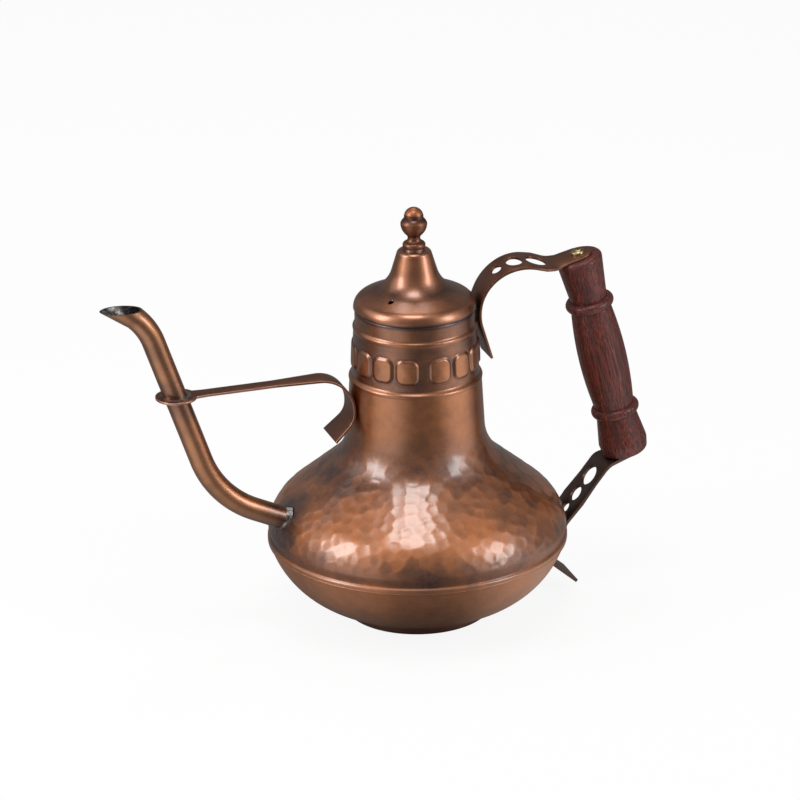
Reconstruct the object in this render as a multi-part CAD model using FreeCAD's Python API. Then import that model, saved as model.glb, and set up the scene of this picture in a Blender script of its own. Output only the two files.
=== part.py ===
import FreeCAD, Part
import math
import os

from FreeCAD import Vector

# Gooseneck kettle of beaten copper, with a lift-off lid and a turned wooden grip.
# Millimetres. Z is the axis of the pot, the base stands on z = 0, the spout points
# to -X and the handle to +X. Every outline is drawn in the XZ plane as a run of
# corners (x, z, rounding radius), and a sheet lies on the left of its outline.

# Sheet and fits
wall = 1.0
base_wall = 1.2
lid_wall = 0.9
solder_gap = 0.1
lid_clearance = 0.35
lid_rest_gap = 0.3

# Base pan and lower bowl
base_r = 37.0
base_h = 5.5
base_flare = 0.4
base_edge_round = 1.5
bowl_lip_in = 1.8
bowl_lip_out = 0.4
bowl_turn_inset = 10.7
bowl_turn_rise = 6.5
bowl_turn_share = 0.925
bowl_lip_round = 2.0
seam_inset = 0.7
seam_round = 0.3
seam_z = 39.7

# Upper shell: belly, shoulder, neck, band and collar
belly_r = 75.5
belly_rise = 15.4
belly_round = 27.0
neck_root_r = 34.9
neck_root_z = 88.7
neck_root_round = 26.0
neck_top_r = 33.0
neck_top_z = 125.1
band_r = 31.9
band_top_r = 30.7
band_step_h = 2.2
band_h = 24.2
collar_inset = 0.7
collar_h = 8.3
collar_step_h = 2.0
neck_step_round = 0.8
bead_out = 0.4
lower_bead_size = 1.8
upper_bead_size = 1.4

# Raised squares round the band
square_count = 15
square_pitch = 23.5
square_first_angle = -84.9
square_w = 10.5
square_h = 11.8
square_corner = 3.0
square_height = 0.9
square_rise = 5.4

# Spout
spout_r = 5.75
spout_wall = 0.9
spout_root_z = 58.4
spout_tuck = 4.2
spout_root_angle = 25.0
spout_root_run = 38.1
spout_low_bend = 52.0
spout_rise_angle = 71.1
spout_rise_run = 99.5
spout_top_bend = 34.0
spout_tip_angle = 43.0
spout_tip_run = 15.5
spout_mouth_r = 6.8
spout_mouth_tilt = 2.0
spout_solder_r = 6.6
spout_solder_h = 1.3

# Stay between the spout and the neck
stay_t = 1.2
stay_z = 130.0
stay_contact_z = 113.4
stay_bend = 16.0
stay_tail_bend = 9.5
stay_tail_drop = 4.5
stay_tail_angle = 42.0
stay_tail_run = 14.2
stay_eye_r = 10.3
stay_eye_hole_r = 7.3
stay_eye_w = 11.0
stay_neck_w = 8.0
stay_neck_run = 14.0
stay_bend_w = 13.4
stay_widen_run = 33.0
stay_tail_w = 21.0
stay_solder_w = 10.0
stay_solder_h = 7.0
ring_solder_crown = 0.4

# Wooden grip
grip_reach = 56.2
grip_rise = 16.4
grip_tilt = 13.2
grip_length = 111.5
grip_top_r = 11.9
grip_neck_r = 9.4
grip_waist_r = 10.1
grip_belly_r = 12.1
grip_bead_r = 12.3
grip_bead_t = 5.5
grip_bead_inset = 26.5
grip_low_bead_inset = 24.5
grip_bottom_r = 12.4
grip_end_round = 2.2
grip_bottom_round = 2.2
grip_foot_run = 6.0
pilot_depth = 26.0

# Brackets that carry the grip
upper_t = 1.2
upper_tail_run = 21.0
upper_tail_lean = 16.5
upper_tail_bend = 20.0
upper_bend = 22.5
upper_fall_angle = 13.5
upper_tab_inset = 14.6
upper_tab_bend = 10.0
upper_tail_w = 16.0
upper_arch_w = 26.5
upper_tab_w = 15.0
upper_crest_reach = 33.0
upper_taper_run = 4.0
upper_holes = ((47.5, 5.5, 6.8), (57.0, 8.0, 11.0), (68.3, 10.5, 12.5))
upper_solder_w = 11.0
upper_solder_h = 6.0
lower_t = 1.6
lower_tab_inset = 13.2
lower_tab_bend = 10.0
lower_body_bend = 3.0
lower_body_run = 2.0
lower_hug_top = -20.0
lower_hug_end = -38.0
lower_tail_start = 4.2
lower_tail_bend = 4.0
lower_tail_angle = 41.0
lower_tail_run = 22.0
lower_tab_w = 20.0
lower_arm_w = 22.4
lower_body_w = 20.4
lower_tail_w = 21.5
lower_holes = ((30.5, 10.8, 11.2), (41.9, 8.3, 8.6), (50.9, 5.8, 6.2))
lower_solder_w = 12.0
tab_end_r = 7.0
strap_blank_w = 60.0

# Grip screws
screw_r = 1.75
screw_head_r = 3.5
screw_head_h = 2.3
screw_dome = 1.2
screw_shoulder_r = 2.5
screw_shoulder_h = 1.85
screw_length = 24.0
screw_point = 5.0
screw_fit = 0.05
screw_slot_w = 1.0
screw_slot_l = 3.8
screw_slot_depth = 1.1

# Lid, skirt and finial
lid_overhang = 0.6
lid_edge_h = 4.5
lid_edge_round = 6.5
lid_slope_r = 13.56
lid_slope_h = 7.8
lid_slope_round = 16.7
lid_tower_r = 8.2
lid_tower_h = 17.9
lid_tower_round = 2.5
vent_r = 1.2
vent_offset = 21.0
vent_angle = -142.0
skirt_wall = 0.9
skirt_depth = 11.3
skirt_flange_rise = 0.2
skirt_flange_gap = 0.1
skirt_solder_h = 1.1
seat_ring_r = 5.0
seat_ring_h = 0.9
knob_collar = (5.7, 1.7)
knob_collar_top = (4.6, 3.1)
knob_waist = (3.2, 4.7)
knob_shoulder = (3.8, 6.7)
knob_bulb_low = (5.8, 9.2)
knob_bulb = (6.65, 12.9)
knob_bulb_high = (6.1, 14.0)
knob_groove = (4.8, 15.4)
knob_ball_r = 4.85
knob_thread_depth = 9.0
stud_r = 2.0
stud_head_r = 3.5
stud_head_h = 2.4
washer_r = 4.5
washer_h = 0.8

UP = Vector(0, 0, 1)
ACROSS = Vector(0, 1, 0)


def at(x, z, y=0.0):
    """Point of the XZ plane, or beside it."""
    return Vector(x, y, z)


def polar(centre, radius, degrees):
    """Point (x, z) at an angle above +X round a centre."""
    turn = math.radians(degrees)
    return centre[0] + radius * math.cos(turn), centre[1] + radius * math.sin(turn)


def step(start, run, degrees):
    """Point (x, z) reached by a run in a direction given as an angle above +X."""
    return polar(start, run, degrees)


def unit(start, end):
    """Unit vector (x, z) from one corner to the next."""
    dx = end[0] - start[0]
    dz = end[1] - start[1]
    length = math.hypot(dx, dz)
    return dx / length, dz / length


def crossing(start, degrees, other, other_degrees):
    """Corner (x, z) where two slanted lines meet."""
    ax, az = polar((0, 0), 1, degrees)
    bx, bz = polar((0, 0), 1, other_degrees)
    run = ((other[0] - start[0]) * bz - (other[1] - start[1]) * bx) / (ax * bz - az * bx)
    return start[0] + run * ax, start[1] + run * az


def rounding(corner):
    """Rounding radius of a corner, nothing where none is given."""
    return corner[2] if len(corner) > 2 else 0.0


def round_centre(before, corner, after):
    """Centre (x, z) of the arc that rounds a corner."""
    ax, az = unit(corner, before)
    bx, bz = unit(corner, after)
    half = math.acos(ax * bx + az * bz) / 2
    scale = rounding(corner) / math.sin(half) / math.hypot(ax + bx, az + bz)
    return corner[0] + (ax + bx) * scale, corner[1] + (az + bz) * scale


def fitted_round(before, corner, after, share):
    """Radius of the arc that takes up a share of the shorter run beside a corner."""
    ax, az = unit(corner, before)
    bx, bz = unit(corner, after)
    half = math.acos(ax * bx + az * bz) / 2
    shorter = min(math.dist(corner, before), math.dist(corner, after))
    return share * shorter * math.tan(half)


def outline(corners):
    """Edges along the corners, straight runs joined by tangent arcs."""
    edges = []
    last = at(corners[0][0], corners[0][1])
    for before, corner, after in zip(corners, corners[1:], corners[2:]):
        radius = rounding(corner)
        if radius == 0:
            end = at(corner[0], corner[1])
            edges.append(Part.LineSegment(last, end).toShape())
            last = end
            continue
        ax, az = unit(corner, before)
        bx, bz = unit(corner, after)
        half = math.acos(max(-1.0, min(1.0, ax * bx + az * bz))) / 2
        reach = radius / math.tan(half)
        begin = at(corner[0] + ax * reach, corner[1] + az * reach)
        finish = at(corner[0] + bx * reach, corner[1] + bz * reach)
        cx, cz = round_centre(before, corner, after)
        mx, mz = unit((cx, cz), corner)
        middle = at(cx + mx * radius, cz + mz * radius)
        if (begin - last).Length > 1e-6:
            edges.append(Part.LineSegment(last, begin).toShape())
        edges.append(Part.Arc(begin, middle, finish).toShape())
        last = finish
    end = at(corners[-1][0], corners[-1][1])
    if (end - last).Length > 1e-6:
        edges.append(Part.LineSegment(last, end).toShape())
    return edges


def beside(corners, distance):
    """Corners of the outline parallel to this one, on its left."""
    moved = []
    count = len(corners)
    for index, corner in enumerate(corners):
        into = unit(corners[max(index - 1, 0)], corners[max(index, 1)])
        out = unit(corners[min(index, count - 2)], corners[min(index + 1, count - 1)])
        share = distance / (1 + into[0] * out[0] + into[1] * out[1])
        x = corner[0] - (into[1] + out[1]) * share
        z = corner[1] + (into[0] + out[0]) * share
        turn = into[0] * out[1] - into[1] * out[0]
        radius = rounding(corner)
        if radius > 0:
            radius = max(radius - math.copysign(distance, turn), 0.0)
        moved.append((x, z, radius))
    return moved


def plate(corners, thickness):
    """Flat section of a sheet: the outline, its parallel and the two ends."""
    inner = beside(corners, thickness)
    edges = outline(corners)
    edges.append(Part.LineSegment(at(*corners[-1][:2]), at(*inner[-1][:2])).toShape())
    edges += outline(inner[::-1])
    edges.append(Part.LineSegment(at(*inner[0][:2]), at(*corners[0][:2])).toShape())
    return Part.Face(Part.Wire(Part.__sortEdges__(edges)))


def turned(face):
    """Solid of revolution about the axis of the pot."""
    return face.revolve(Vector(0, 0, 0), UP, 360)


def closed(corners):
    """Section enclosed by a run of corners and the line back to its start."""
    edges = outline(corners)
    edges.append(Part.LineSegment(at(*corners[-1][:2]), at(*corners[0][:2])).toShape())
    return Part.Face(Part.Wire(edges))


def filled(corners):
    """Solid that fills an outline up to the axis of the pot."""
    return turned(closed([(0, corners[0][1])] + corners + [(0, corners[-1][1])]))


def extruded(face, width):
    """Section drawn out evenly to both sides of the XZ plane."""
    solid = face.extrude(ACROSS * width)
    solid.translate(ACROSS * (-width / 2))
    return solid


def radius_of(corners, z):
    """Radius of an outline at a height."""
    level = Part.LineSegment(at(0, z), at(500, z)).toShape()
    return max(v.X for v in Part.Wire(outline(corners)).section(level).Vertexes)


def block(x0, x1, y_width, z0, z1):
    """Box centred on the XZ plane."""
    return Part.makeBox(x1 - x0, y_width, z1 - z0, Vector(x0, -y_width / 2, z0))


def along(corners, distance):
    """Point and left-hand normal at a distance along an outline."""
    for edge in outline(corners):
        if distance <= edge.Length:
            break
        distance -= edge.Length
    place = edge.getParameterByLength(distance)
    heading = edge.tangentAt(place)
    return edge.valueAt(place), Vector(-heading.z, 0, heading.x)


def oval(centre, normal, length, width, height):
    """Oval rod along a normal of the XZ plane, with its width across that plane."""
    axes = [ACROSS * (width / 2), ACROSS.cross(normal) * (length / 2)]
    axes.sort(key=lambda axis: -axis.Length)
    edge = Part.Ellipse(centre + axes[0], centre + axes[1], centre).toShape()
    return Part.Face(Part.Wire(edge)).extrude(normal * height)


def strap(corners, thickness, shape, holes=()):
    """Bent strap cut to its width by an envelope and pierced square to its face."""
    solid = extruded(plate(corners, thickness), strap_blank_w)
    solid = solid.common(shape)
    for distance, length, width in holes:
        centre, normal = along(corners, distance)
        solid = solid.cut(oval(centre - normal * thickness, normal, length, width, 3 * thickness))
    return solid


def plan_envelope(stations, z0, z1):
    """Upright prism whose width changes along X."""
    ahead = [Vector(x, width / 2, z0) for x, width in stations]
    back = [Vector(x, -width / 2, z0) for x, width in reversed(stations)]
    face = Part.Face(Part.makePolygon(ahead + back + ahead[:1]))
    return face.extrude(UP * (z1 - z0))


def front_envelope(stations, x0, x1):
    """Level prism along X whose width changes with height."""
    ahead = [Vector(x0, width / 2, z) for z, width in stations]
    back = [Vector(x0, -width / 2, z) for z, width in reversed(stations)]
    face = Part.Face(Part.makePolygon(ahead + back + ahead[:1]))
    return face.extrude(Vector(x1 - x0, 0, 0))


# Outlines of the pot
base_rim = (base_r + base_flare, base_h)
base_line = [(0, 0), (base_r, 0, base_edge_round), base_rim]
bowl_lip = (base_rim[0] + bowl_lip_out, base_h)
bowl_turn = (belly_r - bowl_turn_inset, base_h + bowl_turn_rise)
bowl_hem = (belly_r - seam_inset, seam_z - wall)
bowl_line = [
    (base_rim[0] - base_wall - bowl_lip_in + wall, base_h),
    bowl_lip + (bowl_lip_round,),
    bowl_turn + (fitted_round(bowl_lip, bowl_turn, bowl_hem, bowl_turn_share),),
    bowl_hem + (seam_round,),
    (belly_r - solder_gap / 2, seam_z - wall),
]
band_z = neck_top_z + band_step_h
collar_z = band_z + band_h + collar_step_h
rim_z = collar_z + collar_h
collar_r = band_top_r - collar_inset
shell_line = [
    (belly_r, seam_z),
    (belly_r, seam_z + belly_rise, belly_round),
    (neck_root_r, neck_root_z, neck_root_round),
    (neck_top_r, neck_top_z, neck_step_round),
    (band_r, band_z, neck_step_round),
    (band_top_r, band_z + band_h, neck_step_round),
    (collar_r, collar_z, neck_step_round),
    (collar_r, rim_z),
]
shell_core = filled(shell_line)
bowl_core = filled(bowl_line)


def make_base_pan():
    return turned(plate(base_line, base_wall)).cut(bowl_core)


def make_base_solder():
    rim_inner = base_rim[0] - base_wall
    corner = [(rim_inner, base_h), (rim_inner - bowl_lip_in + wall, base_h), (rim_inner, base_h - wall)]
    return turned(closed(corner)).cut(make_base_pan())


def make_lower_bowl():
    return turned(plate(bowl_line, wall))


def bead(radius, z, size):
    """Rolled bead standing out of the neck."""
    return Part.makeTorus(radius, size, Vector(0, 0, z))


def band_radius(z):
    share = (z - band_z) / band_h
    return band_r + (band_top_r - band_r) * share


def make_square(angle):
    """Raised rounded square that follows the curve of the band."""
    low = band_z + square_rise
    high = low + square_h
    pad = block(0, 2 * band_r, square_w, low, high)
    pad = pad.makeFillet(square_corner, [e for e in pad.Edges if e.Length > 1.9 * band_r])
    ring = [(band_radius(low) - wall / 2, low), (band_radius(low) + square_height, low)]
    ring += [(band_radius(high) + square_height, high), (band_radius(high) - wall / 2, high)]
    pad = pad.common(turned(closed(ring)))
    pad.rotate(Vector(0, 0, 0), UP, angle)
    return pad


def make_neck_beads():
    """The two rolled beads, above and below the band."""
    lower = bead(neck_top_r + bead_out - lower_bead_size, neck_top_z + band_step_h / 2, lower_bead_size)
    upper = bead(upper_bead_r - upper_bead_size, upper_bead_z, upper_bead_size)
    core = filled(beside(shell_line, wall / 2))
    return [lower.cut(core), upper.cut(core)]


def make_upper_shell():
    shell = turned(plate(shell_line, wall))
    squares = [make_square(square_first_angle + square_pitch * i) for i in range(square_count)]
    shell = shell.fuse(neck_beads + squares).removeSplitter()
    bore = Part.makeCylinder(spout_r + screw_fit, 4 * spout_tuck, at(*spout_start), spout_heading)
    return shell.cut(bore)


def make_seam_solder():
    inner = belly_r - wall
    corner = [(inner - wall, seam_z), (inner, seam_z), (inner, seam_z + 1.5 * wall)]
    return turned(closed(corner))


upper_bead_r = band_top_r + bead_out
upper_bead_z = collar_z - collar_step_h / 2
neck_beads = make_neck_beads()

# Line of the spout
spout_root = (-radius_of(shell_line, spout_root_z), spout_root_z)
spout_start = step(spout_root, -spout_tuck, 180 - spout_root_angle)
spout_low = step(spout_root, spout_root_run, 180 - spout_root_angle)
spout_high = step(spout_low, spout_rise_run, 180 - spout_rise_angle)
spout_mouth = step(spout_high, spout_tip_run, 180 - spout_tip_angle)
spout_line = [
    spout_start,
    spout_low + (spout_low_bend,),
    spout_high + (spout_top_bend,),
    spout_mouth,
]
spout_heading = at(*unit(spout_root, spout_low))
tip_heading = at(*unit(spout_high, spout_mouth))


def make_spout_rod(shrink):
    """Solid rod along the spout, thinner than the tube by a given wall."""
    edges = outline(spout_line)
    tip = edges.pop()
    profile = Part.Wire(Part.makeCircle(spout_r - shrink, at(*spout_start), spout_heading))
    rod = Part.Wire(edges).makePipeShell([profile], True, False)
    begin = tip.valueAt(tip.FirstParameter)
    length = tip.Length + 3 * spout_r
    spread = (spout_mouth_r - spout_r) * length / tip.Length
    cone = Part.makeCone(spout_r - shrink, spout_r - shrink + spread, length, begin, tip_heading)
    return rod.fuse(cone).removeSplitter()


spout_rod = make_spout_rod(0)


def make_spout_tube():
    tube = spout_rod.cut(make_spout_rod(spout_wall))
    reach = 8 * spout_r
    above = Part.makeBox(2 * reach, 2 * reach, reach, Vector(-reach, -reach, 0))
    above.rotate(Vector(0, 0, 0), ACROSS, spout_mouth_tilt)
    above.translate(at(*spout_mouth))
    return tube.cut(above)


def make_spout_solder():
    foot = at(*step(spout_root, -spout_solder_h, 180 - spout_root_angle))
    cone = Part.makeCone(
        spout_solder_r + spout_solder_h / 2, spout_r, 2 * spout_solder_h, foot, spout_heading
    )
    return cone.cut([shell_core, spout_rod])


# Stay
stay_eye = crossing(spout_low, 180 - spout_rise_angle, (0, stay_z), 0)
stay_face_x = -(radius_of(shell_line, stay_contact_z - stay_tail_drop / 2) + solder_gap + stay_t)
stay_tail_corner = (stay_face_x, stay_contact_z - stay_tail_drop)
stay_tail_end = step(stay_tail_corner, stay_tail_run, 180 + stay_tail_angle)
stay_line = [
    (stay_eye[0] - stay_eye_r, stay_z),
    (stay_face_x, stay_z, stay_bend),
    stay_tail_corner + (stay_tail_bend,),
    stay_tail_end,
]


def make_spout_stay():
    turn_z = stay_z - stay_bend / 2
    turn_x = stay_face_x - stay_bend / 3
    level = plan_envelope(
        [
            (stay_eye[0], stay_eye_w),
            (stay_eye[0] + stay_neck_run, stay_neck_w),
            (turn_x - stay_widen_run, stay_neck_w),
            (turn_x, stay_bend_w),
            (0, stay_bend_w),
        ],
        turn_z, stay_z + stay_bend
    )
    eye = Part.makeCylinder(stay_eye_r, 2 * stay_bend, at(stay_eye[0], turn_z))
    upright = front_envelope(
        [(turn_z, stay_bend_w), (stay_tail_end[1] - stay_t, stay_tail_w)], stay_tail_end[0] - stay_t, 0
    )
    stay = strap(stay_line, stay_t, level.fuse([eye, upright]))
    hole = Part.makeCylinder(stay_eye_hole_r, 2 * stay_bend, at(stay_eye[0], turn_z))
    return stay.cut(hole)


def make_stay_ring_solder():
    height = stay_t + 2 * ring_solder_crown
    centre = at(stay_eye[0], stay_z - ring_solder_crown)
    fill = Part.makeCylinder(stay_eye_hole_r - screw_fit, height, centre)
    return fill.cut(spout_rod)


def make_stay_neck_solder():
    inner = stay_face_x + stay_t
    middle = stay_contact_z - stay_tail_drop / 4
    fill = block(
        inner, inner + 2 * wall, stay_solder_w, middle - stay_solder_h / 2, middle + stay_solder_h / 2
    )
    return fill.cut(shell_core)


# Grip axis and the faces that the brackets lie on
grip_top = (collar_r + grip_reach, rim_z + grip_rise)
grip_bottom = step(grip_top, grip_length, -90 + grip_tilt)


def on_grip(solid):
    """Move a solid turned about Z so that its top end lies on the top of the grip."""
    solid.rotate(Vector(0, 0, 0), ACROSS, -grip_tilt)
    solid.translate(at(*grip_top))
    return solid


def make_handle_grip():
    low_bead = -grip_length + grip_low_bead_inset
    high_bead = -grip_bead_inset
    half = grip_bead_t / 2
    foot = -grip_length + grip_foot_run
    middle = (high_bead + low_bead) / 2
    arcs = [
        ((grip_waist_r, high_bead - half), (grip_bead_r, high_bead), (grip_neck_r, high_bead + half)),
        ((grip_waist_r, low_bead + half), (grip_belly_r, middle), (grip_waist_r, high_bead - half)),
        ((grip_waist_r, low_bead - half), (grip_bead_r, low_bead), (grip_waist_r, low_bead + half)),
    ]
    edges = outline([
        (0, 0),
        (grip_top_r, 0, grip_end_round),
        (grip_neck_r, high_bead + half),
    ])
    edges += [Part.Arc(*[at(*p) for p in arc]).toShape() for arc in arcs]
    edges += outline([
        (grip_waist_r, low_bead - half),
        (grip_bottom_r, foot, 3 * grip_bottom_round),
        (grip_bottom_r - wall, -grip_length, grip_bottom_round),
        (0, -grip_length),
    ])
    edges.append(Part.LineSegment(at(0, -grip_length), at(0, 0)).toShape())
    grip = turned(Part.Face(Part.Wire(Part.__sortEdges__(edges))))
    for end in (-pilot_depth, -grip_length):
        grip = grip.cut(Part.makeCylinder(screw_r + screw_fit, pilot_depth, at(0, end)))
    return on_grip(grip)


def make_screw(seat_z, facing):
    """Cross-head screw with its head seated at a height on the axis of the grip."""
    shank = Part.makeCylinder(screw_r, screw_length - screw_point)
    shank.translate(UP * (screw_point - screw_length))
    point = Part.makeCone(screw_r / 5, screw_r, screw_point, at(0, -screw_length))
    edge_h = screw_head_h - screw_dome
    crown = [(0, 0), (screw_head_r, 0), (screw_head_r, edge_h)]
    edges = outline(crown)
    shoulder = at(screw_shoulder_r, screw_shoulder_h)
    top = at(0, screw_head_h)
    edges.append(Part.Arc(at(screw_head_r, edge_h), shoulder, top).toShape())
    edges.append(Part.LineSegment(top, at(0, 0)).toShape())
    head = turned(Part.Face(Part.Wire(edges)))
    for long_x, long_y in ((screw_slot_l, screw_slot_w), (screw_slot_w, screw_slot_l)):
        slot = Part.makeBox(long_x, long_y, screw_head_h, Vector(-long_x / 2, -long_y / 2, 0))
        slot.translate(UP * (screw_head_h - screw_slot_depth))
        head = head.cut(slot)
    screw = head.fuse([shank, point]).removeSplitter()
    if facing < 0:
        screw.rotate(Vector(0, 0, 0), ACROSS, 180)
    screw.translate(UP * seat_z)
    return on_grip(screw)


def screw_hole():
    """Drill along the axis of the grip, long enough for both brackets."""
    drill = Part.makeCylinder(screw_r + 2 * solder_gap, grip_length + 8 * upper_t)
    drill.translate(UP * (-grip_length - 4 * upper_t))
    return on_grip(drill)


def tab_end(seat):
    """Round end of a bracket about the screw."""
    disc = Part.makeCylinder(tab_end_r, 12 * upper_t)
    disc.translate(UP * (seat - 6 * upper_t))
    return on_grip(disc)


# Upper bracket
upper_face_x = upper_bead_r + solder_gap + upper_t
upper_low_corner = (upper_face_x, upper_bead_z)
upper_tail_end = step(upper_low_corner, upper_tail_run, -90 + upper_tail_lean)
upper_tab_corner = step(grip_top, -upper_tab_inset, grip_tilt)
upper_arch_corner = crossing(upper_tab_corner, -upper_fall_angle, (upper_face_x, 0), 90)
upper_line = [
    upper_tail_end,
    upper_low_corner + (upper_tail_bend,),
    upper_arch_corner + (upper_bend,),
    upper_tab_corner + (upper_tab_bend,),
    step(grip_top, tab_end_r, grip_tilt),
]


def make_upper_bracket():
    spring_z = upper_arch_corner[1] - upper_bend
    crest_x = upper_face_x + upper_crest_reach
    level = plan_envelope(
        [
            (0, upper_tail_w),
            (upper_face_x + upper_t, upper_tail_w),
            (crest_x, upper_arch_w),
            (upper_tab_corner[0] + upper_taper_run, upper_tab_w),
            (grip_top[0], upper_tab_w),
        ],
        spring_z, spring_z + 3 * upper_bend
    )
    upright = front_envelope([(0, upper_tail_w), (spring_z, upper_tail_w)], 0, grip_top[0])
    shape = level.fuse([upright, tab_end(0)])
    return strap(upper_line, upper_t, shape, upper_holes).cut(screw_hole())


def make_upper_bracket_solder():
    inner = upper_face_x - upper_t
    low = upper_bead_z
    fill = block(inner - 2 * wall, inner, upper_solder_w, low, low + upper_solder_h)
    return fill.cut([shell_core] + neck_beads)


# Lower bracket, hugging the turn of the bowl
bowl_centre = round_centre(*bowl_line[1:4])
hug_r = math.hypot(belly_r - bowl_centre[0], seam_z - wall - bowl_centre[1]) + solder_gap
hug_half = (lower_hug_top - lower_hug_end) / 2
hug_corner = polar(bowl_centre, hug_r / math.cos(math.radians(hug_half)), lower_hug_end + hug_half)
hug_top = polar(bowl_centre, hug_r, lower_hug_top)
hug_end = polar(bowl_centre, hug_r, lower_hug_end)
lower_body_corner = step(hug_top, lower_body_run, 90 + lower_hug_top)
lower_tab_corner = step(grip_bottom, -lower_tab_inset, grip_tilt)
lower_tail_corner = step(hug_end, -lower_tail_start, 90 + lower_hug_end)
lower_tail_end = step(lower_tail_corner, lower_tail_run, -lower_tail_angle)
lower_line = [
    step(grip_bottom, tab_end_r, grip_tilt),
    lower_tab_corner + (lower_tab_bend,),
    lower_body_corner + (lower_body_bend,),
    hug_corner + (hug_r,),
    lower_tail_corner + (lower_tail_bend,),
    lower_tail_end,
]


def make_lower_bracket():
    tab_z = lower_tab_corner[1] - lower_tab_bend
    upright = front_envelope(
        [
            (lower_tail_end[1] - 2 * lower_t, lower_tail_w),
            (lower_tail_corner[1], lower_body_w),
            (lower_body_corner[1], lower_body_w),
            ((lower_body_corner[1] + tab_z) / 2, lower_arm_w),
            (tab_z, lower_tab_w),
        ],
        0, grip_bottom[0]
    )
    level = plan_envelope(
        [(0, lower_tab_w), (lower_tab_corner[0], lower_tab_w), (grip_bottom[0], 2 * tab_end_r)],
        tab_z, grip_top[1]
    )
    shape = level.fuse([upright, tab_end(-grip_length)])
    return strap(lower_line, lower_t, shape, lower_holes).cut(screw_hole())


def make_lower_bracket_solder():
    deep = hug_r - 3 * wall
    corners = [
        polar(bowl_centre, deep, lower_hug_end),
        hug_end,
        hug_corner + (hug_r,),
        hug_top,
        polar(bowl_centre, deep, lower_hug_top),
    ]
    fill = extruded(closed(corners), lower_solder_w)
    return fill.cut([bowl_core, make_lower_bowl()])


# Lid
lid_r = collar_r + lid_overhang
lid_z = rim_z + lid_rest_gap
lid_slope_z = lid_z + lid_edge_h + lid_slope_h
lid_top_z = lid_slope_z + lid_tower_h
lid_line = [
    (lid_r, lid_z),
    (lid_r, lid_z + lid_edge_h, lid_edge_round),
    (lid_slope_r, lid_slope_z, lid_slope_round),
    (lid_tower_r, lid_top_z, lid_tower_round),
    (stud_r + 2 * solder_gap, lid_top_z),
]
skirt_r = collar_r - wall - lid_clearance
flange_z = lid_z + skirt_flange_rise
flange_r = lid_r - lid_wall - skirt_flange_gap
knob_z = lid_top_z + seat_ring_h


def make_lid_cover():
    cover = turned(plate(lid_line, lid_wall))
    x, y = polar((0, 0), vent_offset, vent_angle)
    return cover.cut(Part.makeCylinder(vent_r, 2 * lid_tower_h, Vector(x, y, lid_z)))


def make_lid_skirt():
    sleeve = [
        (skirt_r, rim_z - skirt_depth),
        (skirt_r, flange_z),
        (flange_r, flange_z),
    ]
    return turned(plate(sleeve, skirt_wall))


def make_lid_skirt_solder():
    low = flange_z + skirt_wall
    corner = [(skirt_r, low), (flange_r, low), (flange_r, low + skirt_solder_h)]
    return turned(closed(corner)).cut(make_lid_cover())


def make_knob_seat_ring():
    ring = Part.makeCylinder(seat_ring_r, seat_ring_h, at(0, lid_top_z))
    return ring.cut(Part.makeCylinder(stud_r + solder_gap, seat_ring_h, at(0, lid_top_z)))


def make_lid_knob():
    ball_z = knob_groove[1] + math.sqrt(knob_ball_r ** 2 - knob_groove[0] ** 2)
    arcs = [
        ((seat_ring_r, 0), knob_collar, knob_collar_top),
        (knob_collar_top, knob_waist, knob_shoulder),
        (knob_shoulder, knob_bulb_low, knob_bulb),
        (knob_bulb, knob_bulb_high, knob_groove),
        (knob_groove, (knob_ball_r, ball_z), (0, ball_z + knob_ball_r)),
    ]
    edges = [Part.LineSegment(at(0, 0), at(seat_ring_r, 0)).toShape()]
    edges += [Part.Arc(*[at(*p) for p in arc]).toShape() for arc in arcs]
    edges.append(Part.LineSegment(at(0, ball_z + knob_ball_r), at(0, 0)).toShape())
    knob = turned(Part.Face(Part.Wire(edges)))
    knob = knob.cut(Part.makeCylinder(stud_r + screw_fit, knob_thread_depth))
    knob.translate(UP * knob_z)
    return knob


def make_knob_washer():
    low = lid_top_z - lid_wall - washer_h
    ring = Part.makeCylinder(washer_r, washer_h, at(0, low))
    return ring.cut(Part.makeCylinder(stud_r + solder_gap, washer_h, at(0, low)))


def make_knob_screw():
    seat = lid_top_z - lid_wall - washer_h
    shank = Part.makeCylinder(stud_r, knob_z - seat + knob_thread_depth - wall, at(0, seat))
    head = Part.makeCylinder(stud_head_r, stud_head_h, at(0, seat - stud_head_h))
    slot = block(-stud_head_r, stud_head_r, wall, seat - stud_head_h, seat - stud_head_h + wall)
    return shank.fuse(head).removeSplitter().cut(slot)


pieces = {
    "base_pan": make_base_pan(),
    "base_solder": make_base_solder(),
    "lower_bowl": make_lower_bowl(),
    "seam_solder": make_seam_solder(),
    "upper_shell": make_upper_shell(),
    "spout_tube": make_spout_tube(),
    "spout_solder": make_spout_solder(),
    "spout_stay": make_spout_stay(),
    "stay_ring_solder": make_stay_ring_solder(),
    "stay_neck_solder": make_stay_neck_solder(),
    "handle_grip": make_handle_grip(),
    "upper_bracket": make_upper_bracket(),
    "upper_bracket_solder": make_upper_bracket_solder(),
    "lower_bracket": make_lower_bracket(),
    "lower_bracket_solder": make_lower_bracket_solder(),
    "upper_grip_screw": make_screw(upper_t, 1),
    "lower_grip_screw": make_screw(-grip_length - lower_t, -1),
    "lid_cover": make_lid_cover(),
    "lid_skirt": make_lid_skirt(),
    "lid_skirt_solder": make_lid_skirt_solder(),
    "knob_seat_ring": make_knob_seat_ring(),
    "lid_knob": make_lid_knob(),
    "knob_washer": make_knob_washer(),
    "knob_screw": make_knob_screw(),
}

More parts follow.
